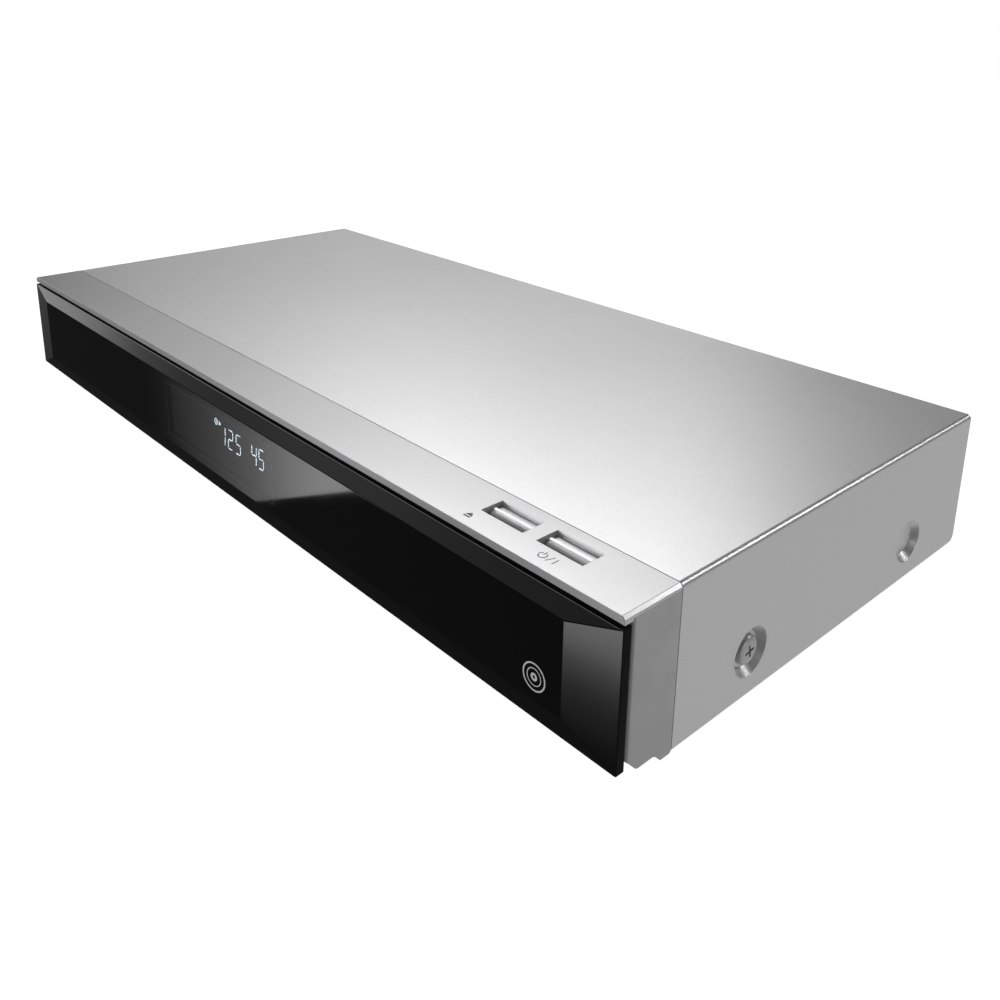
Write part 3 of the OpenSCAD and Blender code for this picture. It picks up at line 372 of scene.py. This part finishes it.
def piece(name, bm, material, body):
    """Turns a bmesh into a piece that rides on a body."""
    mesh = bpy.data.meshes.new(name)
    bmesh.ops.recalc_face_normals(bm, faces=bm.faces)
    bm.to_mesh(mesh)
    bm.free()
    mesh.materials.append(material)
    mesh.polygons.foreach_set("use_smooth", [True] * len(mesh.polygons))
    mesh.set_sharp_from_angle(angle=math.radians(30))
    obj = bpy.data.objects.new(name, mesh)
    bpy.context.scene.collection.objects.link(obj)
    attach(obj, body)


def prism(bm, outline, base, thickness, along):
    """Extrudes an outline, given as a list of vectors, by a thickness in mm along a direction."""
    low = [bm.verts.new(base + p) for p in outline]
    high = [bm.verts.new(base + p + along * thickness * MM) for p in outline]
    bm.faces.new(low)
    bm.faces.new(list(reversed(high)))
    for i in range(len(low)):
        j = (i + 1) % len(low)
        bm.faces.new((low[i], low[j], high[j], high[i]))


def flat(points, right, up):
    """Turns (a, b) pairs in millimetres into vectors in the plane of two directions."""
    return [right * a * MM + up * b * MM for a, b in points]


def arc(radius, start, end, steps):
    """Points on an arc about the origin, in millimetres, angles in degrees."""
    angles = [math.radians(start + (end - start) * i / steps) for i in range(steps + 1)]
    return [(radius * math.cos(angle), radius * math.sin(angle)) for angle in angles]


def band(bm, outside, inside, base, thickness, along, closed=True):
    """One closed strip between two outlines with the same number of points, extruded in mm."""
    loops = [[bm.verts.new(base + p + along * lift * MM) for p in points]
             for points, lift in ((outside, 0), (outside, thickness), (inside, thickness), (inside, 0))]
    count = len(outside)
    for i in range(count if closed else count - 1):
        j = (i + 1) % count
        for a, b in zip(loops, loops[1:] + loops[:1]):
            bm.faces.new((a[i], a[j], b[j], b[i]))
    if not closed:
        bm.faces.new([loop[0] for loop in loops])
        bm.faces.new([loop[-1] for loop in reversed(loops)])


def ring(bm, outer, inner, base, up, thickness, along, start=0, end=360, steps=40):
    """A flat ring, or a stretch of one, in the plane of RIGHT and another direction."""
    whole = end - start == 360
    outside, inside = (flat(arc(radius, start, end, steps), RIGHT, up) for radius in (outer, inner))
    if whole:
        outside.pop()
        inside.pop()
    band(bm, outside, inside, base, thickness, along, whole)


# ---- display --------------------------------------------------------------------------------

SEGMENTS = {"1": "bc", "2": "abged", "4": "fgbc", "5": "afgcd"}
DIGIT_W, DIGIT_H, BAR, SLANT = 3.6, 8.6, 0.5, 0.12
SEGMENT_GAP, SEGMENT_T = 0.25, 0.05
FACE_Y = drawn_box("display_glass")[0].y - 0.02  # the segments float just before the glass


def segment_outline(letter):
    """A seven-segment bar as a six-sided outline in the digit's own millimetres."""
    gap, half_bar = SEGMENT_GAP, BAR / 2
    middle = DIGIT_H / 2
    rows = {"a": DIGIT_H, "g": middle, "d": 0.0}
    if letter in rows:
        y = rows[letter]
        x0, x1 = gap, DIGIT_W - gap
        return [(x0, y), (x0 + half_bar, y + half_bar), (x1 - half_bar, y + half_bar), (x1, y),
                (x1 - half_bar, y - half_bar), (x0 + half_bar, y - half_bar)]
    x = DIGIT_W if letter in "bc" else 0.0
    y0, y1 = (middle + gap, DIGIT_H - gap) if letter in "bf" else (gap, middle - gap)
    return [(x, y0), (x + half_bar, y0 + half_bar), (x + half_bar, y1 - half_bar), (x, y1),
            (x - half_bar, y1 - half_bar), (x - half_bar, y0 + half_bar)]


def add_digit(lit, unlit, character, x, z):
    """Adds one digit's seven bars, each to the lit or the unlit mesh."""
    for letter in "abcdefg":
        outline = [(a + b * SLANT, b) for a, b in segment_outline(letter)]
        target = lit if letter in SEGMENTS[character] else unlit
        prism(target, flat(outline, RIGHT, UP), at(x, FACE_Y, z), SEGMENT_T, FRONT)


def display():
    """A plain number on the display, with a small disc and arrow sign at its left."""
    lit, unlit = bmesh.new(), bmesh.new()
    digit_xs, foot_z = (-6.7, -0.3, 6.1, 18.9, 24.5), 30.2
    for character, x in zip("12545", digit_xs):
        add_digit(lit, unlit, character, x, foot_z)
    disc_at = at(-9.8, FACE_Y, 39.0)
    ring(lit, 1.5, 1.05, disc_at, UP, SEGMENT_T, FRONT, steps=24)
    ring(lit, 0.5, 0.1, disc_at, UP, SEGMENT_T, FRONT, steps=12)
    prism(lit, flat([(2.4, -1.1), (4.2, 0), (2.4, 1.1)], RIGHT, UP), disc_at, SEGMENT_T, FRONT)
    piece("display_segments_on", lit, M["lit"], "case")
    piece("display_segments_off", unlit, M["unlit"], "case")


display()


# ---- symbols --------------------------------------------------------------------------------

def strip_symbols():
    """Generic signs printed on the strip: eject beside its button, standby beside the other."""
    bm = bmesh.new()
    top = drawn_box("top_strip")[1].z
    eject = at(drawn_box("eject_button")[0].x - 0.8, 4.6, top)
    standby = at(drawn_box("power_button")[0].x + 6.3, 5.4, top)
    shapes = ((eject, ((-1.5, 0.2), (1.5, 0.2), (0, 2.0))),
              (eject, ((-1.5, -0.9), (1.5, -0.9), (1.5, -0.3), (-1.5, -0.3))),
              (standby, ((-0.17, 0.3), (0.17, 0.3), (0.17, 2.0), (-0.17, 2.0))),
              (standby, ((2.2, -1.5), (2.55, -1.5), (3.75, 1.6), (3.4, 1.6))),
              (standby, ((4.8, -1.5), (5.15, -1.5), (5.15, 1.6), (4.8, 1.6))))
    for base, outline in shapes:
        prism(bm, flat(outline, RIGHT, BACK), base, INK, UP)
    ring(bm, 1.55, 1.2, standby, BACK, INK, UP, 120, 420, 30)
    piece("strip_symbols", bm, M["ink"], "case")


strip_symbols()


def door_pictogram():
    """A plain disc sign near the door's right end."""
    bm = bmesh.new()
    face_y = drawn_box("door_panel")[0].y
    centre = at(185, face_y, 25.4)
    for outer, inner in ((4.6, 4.1), (2.9, 2.6), (1.3, 0.5)):
        ring(bm, outer, inner, centre, UP, INK, FRONT, steps=48)
    piece("door_disc_sign", bm, M["print"], "door")


door_pictogram()


# ---- sockets and rear ------------------------------------------------------------------------

REAR_Y = drawn_box("rear_panel")[1].y
POCKET_Y = 20.95  # the front pocket's back wall
AERIAL_XS, AERIAL_Z = (172, 194), 23


def plate(bm, low, high, cut, along):
    """A thin plate between two drawing points, with cut corners, extruded along an axis."""
    axis = max(range(3), key=lambda i: abs(along[i]))
    a, b = [i for i in range(3) if i != axis]
    da, db = high[a] - low[a], high[b] - low[b]
    outline = [(cut, 0), (da - cut, 0), (da, cut), (da, db - cut), (da - cut, db), (cut, db),
               (0, db - cut), (0, cut)]
    directions = (RIGHT, BACK, UP)
    prism(bm, flat(outline, directions[a], directions[b]), at(*low), high[axis] - low[axis], along)


def pin(bm, centre, radius, length, taper, steps=24):
    """A short rod with a chamfered end, from a drawing point to the back."""
    rings = []
    for r, d in ((radius, 0), (radius, length - taper), (radius - taper, length)):
        rings.append([bm.verts.new(at(*centre) + BACK * d * MM + p)
                      for p in flat(arc(r, 0, 360 - 360 / steps, steps - 1), RIGHT, UP)])
    for low, high in zip(rings, rings[1:]):
        for i in range(steps):
            j = (i + 1) % steps
            bm.faces.new((low[i], low[j], high[j], high[i]))
    bm.faces.new(rings[0])
    bm.faces.new(list(reversed(rings[-1])))


def contacts():
    """Gold contacts in the network, video and two USB sockets."""
    bm = bmesh.new()
    network_x, network_pitch, video_x, video_pitch, usb_pitch = 140, 1.02, 98, 1.0, 2.4
    thin, wide = 0.2, 0.5
    for x in (network_x + (i - 3.5) * network_pitch for i in range(8)):
        for y1, z0, z1 in ((201, 15.7, 16.0), (192.4, 16.0, 21.0)):
            plate(bm, (x - thin, 192, z0), (x + thin, y1, z1), 0.08, UP)
    for x in (video_x + (i - 4.5) * video_pitch for i in range(10)):
        for z in (17.4, 16.34):
            plate(bm, (x - thin, 190.5, z), (x + thin, 201.6, z + 0.06), 0.08, UP)
    for first_x, y0, y1, z in ((116, 190, 201, 17.32), (193.8, 22.4, 33, 23.12)):
        for x in (first_x + i * usb_pitch for i in range(4)):
            plate(bm, (x - wide, y0, z), (x + wide, y1, z + 0.08), 0.15, UP)
    piece("socket_contacts", bm, M["gold"], "case")


def aerial_details():
    """Thread crests on both aerial collars, their white insulators and split centre contacts."""
    threads, white, metal = bmesh.new(), bmesh.new(), bmesh.new()
    pitch = 0.95
    for x in AERIAL_XS:
        for i in range(8):
            ring(threads, 4.86, 4.5, at(x, 204 + i * pitch, AERIAL_Z), UP, 0.42, BACK, steps=36)
        ring(white, 3.15, 0.9, at(x, 205.4, AERIAL_Z), UP, 1.2, BACK, steps=28)
        for start in (10, 100, 190, 280):
            ring(metal, 0.85, 0.5, at(x, 205.6, AERIAL_Z), UP, 3.0, BACK, start, start + 70, 6)
    piece("aerial_threads", threads, M["steel"], "case")
    piece("aerial_insulators", white, M["gear"], "case")
    piece("aerial_centre_contacts", metal, M["gold"], "case")


def inlet_pins():
    """The two contact pins inside the figure-eight mains inlet."""
    bm = bmesh.new()
    for x in (-194.3, -185.7):
        pin(bm, (x, 189.6, 24), 1.26, 10.7, 0.4)
    piece("inlet_pins", bm, M["nickel"], "case")


def network_lamps():
    """Two small lamps in the network socket's face."""
    face_y = drawn_box("rear_sockets")[1].y
    lamps = (("network_lamp_left", 133.0, "amber"), ("network_lamp_right", 144.8, "green"))
    for name, x, material in lamps:
        bm = bmesh.new()
        plate(bm, (x, face_y, 24.3), (x + 2.2, face_y + 0.1, 26.4), 0.3, BACK)
        piece(name, bm, M[material], "case")


def line_box(bm, x0, x1, z0, z1, y, along):
    """A rectangle printed in a thin line on a face that looks to the front or the back."""
    outside, inside = ([(x0 + w, z0 + w), (x1 - w, z0 + w), (x1 - w, z1 - w), (x0 + w, z1 - w)]
                       for w in (0, 0.3))
    band(bm, flat(outside, RIGHT, UP), flat(inside, RIGHT, UP), at(0, y, 0), INK, along)


def rear_print():
    """Blank plates behind and below, and plain frames and arrows round the sockets."""
    bm = bmesh.new()
    foil, under_z = 0.06, drawn_box("chassis_base")[0].z
    plate(bm, (-164, REAR_Y, 17), (-104, REAR_Y + foil, 45), 1.5, BACK)
    plate(bm, (-60, 130, under_z - foil), (10, 160, under_z), 1.5, UP)
    piece("blank_plates", bm, M["label"], "case")
    bm = bmesh.new()
    for edges in ((68.4, 150.6, 11.4, 30.4), (162, 204, 12.6, 34.2), (-204.5, -175.5, 14.2, 33.8)):
        line_box(bm, *edges, REAR_Y, BACK)
    for x, tip in zip(AERIAL_XS, (1, -1)):
        outline = [(-1.3, -0.9 * tip), (1.3, -0.9 * tip), (0, 1.1 * tip)]
        prism(bm, flat(outline, RIGHT, UP), at(x, REAR_Y, 32.2), INK, BACK)
    piece("rear_print", bm, M["ink"], "case")


def pocket_print():
    """Plain marks by the sockets behind the door: an outline and an arrow for each card slot."""
    bm = bmesh.new()
    for z in (24.5, 34.5):
        arrow = flat([(0, -1.1), (1.7, 0), (0, 1.1)], RIGHT, UP)
        prism(bm, arrow, at(90.2, POCKET_Y, z), INK, FRONT)
        line_box(bm, 84.6, 88.9, z - 1.5, z + 1.5, POCKET_Y, FRONT)
    for x0, x1 in ((170, 174), (195.2, 199.2)):
        line_box(bm, x0, x1, 29.2, 31.9, POCKET_Y, FRONT)
    piece("pocket_print", bm, M["print"], "case")


contacts()
aerial_details()
inlet_pins()
network_lamps()
rear_print()
pocket_print()


# ---- studio ---------------------------------------------------------------------------------

def staged(name, bm, material):
    """Turns a bmesh into an object of the studio, which is no part of the recorder."""
    mesh = bpy.data.meshes.new(name)
    bm.to_mesh(mesh)
    bm.free()
    mesh.materials.append(material)
    obj = bpy.data.objects.new(name, mesh)
    bpy.context.scene.collection.objects.link(obj)
    return obj


def floor():
    """A pale floor, glowing almost evenly, that reflections don't see."""
    material = bpy.data.materials.new("floor_paper")
    g = Graph(material)
    tone = g.mix(g.noise(30, 2.0), (0.30, 0.30, 0.30), (0.33, 0.33, 0.33))
    x, y, _ = g.axes()
    reach = g.math("SQRT", g.math("ADD", g.math("MULTIPLY", x, x), g.math("MULTIPLY", y, y)))
    glow = g.remap(reach, 0.3, 1.2, 0.965, 1.0, smooth=True)
    g.shader({"Base Color": tone, "Roughness": 0.9, "Specular IOR Level": 0.0,
              "Emission Color": (1, 1, 1), "Emission Strength": glow})
    bm = bmesh.new()
    half = 8.0
    bm.faces.new([bm.verts.new(Vector((x, y, 0))) for x, y in
                  ((-half, -half), (half, -half), (half, half), (-half, half))])
    staged("studio_floor", bm, material).visible_glossy = False


floor()


def card(name, corners, stops, axis=0):
    """A glowing studio card that only reflections see. Stops are (coordinate, strength) pairs."""
    material = bpy.data.materials.new(name + "_glow")
    g = Graph(material)
    coordinate = g.axes()[axis]
    ramp = g.add("ShaderNodeFloatCurve")
    low, high = stops[0][0], stops[-1][0]
    peak = max(s for _, s in stops)
    curve = ramp.mapping.curves[0]
    while len(curve.points) < len(stops):
        curve.points.new(0.5, 0.5)
    for point, (where, strength) in zip(curve.points, stops):
        point.location = ((where - low) / (high - low), strength / peak)
    ramp.mapping.update()
    g.put(ramp.inputs["Value"], g.remap(coordinate, low, high))
    strength = g.math("MULTIPLY", ramp.outputs[0], peak)
    glow = g.add("ShaderNodeEmission", {"Strength": strength})
    g.add("ShaderNodeOutputMaterial", {"Surface": glow.outputs[0]})
    bm = bmesh.new()
    bm.faces.new([bm.verts.new(Vector(c)) for c in corners])
    obj = staged(name, bm, material)
    obj.visible_camera = False
    obj.visible_diffuse = False
    obj.visible_shadow = False
    obj.visible_transmission = False


# Seen in the door: the tilted bright shape, the right bevel, the top bevel and the left bevel
CARD_Y = -0.8
card("card_low_left", [(-0.76, CARD_Y, -0.5), (-1.43, CARD_Y, -0.81), (-2.6, CARD_Y, -0.81),
                       (-2.6, CARD_Y, -0.5)],
     [(-1.8, 0.03), (-1.63, 0.11), (-1.33, 0.6), (-1.12, 1.67), (-1.0, 2.3), (-0.76, 2.8)])
card("card_low_front", [(-0.32, CARD_Y, -0.44), (-0.08, CARD_Y, -0.44), (-0.08, CARD_Y, -0.70),
                        (-0.32, CARD_Y, -0.70)],
     [(-0.69, 0.03), (-0.63, 0.14), (-0.575, 0.45), (-0.50, 2.1), (-0.44, 3.2)], axis=2)
card("card_horizon", [(-2.6, CARD_Y, -0.13), (-0.1, CARD_Y, -0.13), (-0.1, CARD_Y, 0.06),
                      (-2.6, CARD_Y, 0.06)],
     [(-2.6, 1.5), (-1.78, 1.4), (-1.6, 1.15), (-1.45, 0.7), (-1.3, 0.38), (-1.1, 0.26),
      (-0.7, 0.42), (-0.36, 0.26), (-0.1, 0.25)])
card("card_far_left", [(-2.6, -0.6, -0.95), (-2.6, 0.0, -0.95), (-2.6, 0.0, -0.4), (-2.6, -0.6, -0.4)],
     [(-0.95, 0.05), (-0.7, 0.1), (-0.4, 0.16)], axis=2)
# Seen in the right side and cheek, and in the door's upper edge
card("card_low_right", [(0.1, 0.05, -0.3), (2.2, 0.05, -0.3), (2.2, 2.4, -0.3), (0.1, 2.4, -0.3)],
     [(0.1, 0.48), (2.2, 0.48)])
card("card_front_left", [(-1.55, -0.35, 0.14), (-0.75, -1.75, 0.14), (-0.75, -1.75, 0.95),
                         (-1.55, -0.35, 0.95)],
     [(-1.55, 1.6), (-0.75, 3.4)])


def world():
    """White where the camera looks past the floor, and a dim studio for everything else."""
    scene_world = bpy.data.worlds.new("studio_world")
    bpy.context.scene.world = scene_world
    g = Graph(scene_world)
    direction = g.add("ShaderNodeTexCoord").outputs["Generated"]
    height = g.add("ShaderNodeSeparateXYZ", {0: direction}).outputs[2]
    ramp = g.add("ShaderNodeValToRGB", {0: g.remap(height, -1, 1)})
    ramp.color_ramp.interpolation = "EASE"
    points = [(0.0, 0.03), (0.49, 0.03), (0.51, 0.036), (0.6, 0.036), (0.75, 0.04), (1.0, 0.048)]
    while len(ramp.color_ramp.elements) < len(points):
        ramp.color_ramp.elements.new(0.5)
    for element, (where, tone) in zip(ramp.color_ramp.elements, points):
        element.position = where
        element.color = (tone, tone, tone, 1)
    soft = g.add("ShaderNodeBackground", {"Color": ramp.outputs[0], "Strength": 1.0})
    plain = g.add("ShaderNodeBackground", {"Color": (1, 1, 1), "Strength": 1.0})
    seen = g.add("ShaderNodeLightPath").outputs["Is Camera Ray"]
    both = g.add("ShaderNodeMixShader", {0: seen, 1: soft.outputs[0], 2: plain.outputs[0]})
    g.add("ShaderNodeOutputWorld", {"Surface": both.outputs[0]})


world()


def softbox(name, turn, rise, size, power):
    """A square or oblong light 2 m from the recorder: turn is left of straight behind it."""
    side, lift, reach = math.radians(turn), math.radians(rise), 2.0
    place = Vector((-math.sin(side) * math.cos(lift) * reach, math.cos(side) * math.cos(lift) * reach,
                    math.sin(lift) * reach))
    data = bpy.data.lights.new(name, "AREA")
    data.shape = "RECTANGLE"
    data.size, data.size_y = size
    data.energy = power
    obj = bpy.data.objects.new(name, data)
    obj.location = place
    obj.rotation_euler = (place - Vector((0.05, 0.0, 0.05))).to_track_quat("Z", "Y").to_euler()
    bpy.context.scene.collection.objects.link(obj)


softbox("left_softbox", 65, 32, (0.8, 0.8), 1.93)
softbox("left_high_softbox", 55, 48, (0.5, 0.5), 7.63)
softbox("back_high_softbox", 35, 48, (0.5, 0.5), 3.09)
softbox("back_small_softbox", 30, 40, (0.4, 0.4), 0.9)
softbox("back_softbox", 40, 32, (0.8, 0.8), 1.67)
softbox("behind_softbox", 15, 32, (0.8, 0.8), 0.64)
softbox("rim_softbox", -38, 30, (0.45, 0.35), 6.5)
softbox("right_strip_light", -85, 5, (1.2, 0.2), 2.8)
softbox("front_softbox", 172, 24, (1.2, 0.7), 6.0)


# ---- camera ---------------------------------------------------------------------------------

def camera():
    """The photograph's viewpoint, solved from the recorder's corners."""
    data = bpy.data.cameras.new("photo_camera")
    data.lens = 36.29
    data.sensor_width = 36
    data.shift_y = -0.2
    data.clip_start = 0.01
    obj = bpy.data.objects.new("photo_camera", data)
    turn, tilt, roll = math.radians(47.386), math.radians(-16.405), math.radians(0.863)
    obj.matrix_world = (Matrix.Translation((0.35716, -0.28075, 0.20867))
                        @ Matrix.Rotation(turn, 4, "Z") @ Matrix.Rotation(math.pi / 2 + tilt, 4, "X")
                        @ Matrix.Rotation(roll, 4, "Z"))
    bpy.context.scene.collection.objects.link(obj)
    bpy.context.scene.camera = obj


camera()
view = bpy.context.scene.view_settings
view.view_transform = "Standard"
view.look = "None"
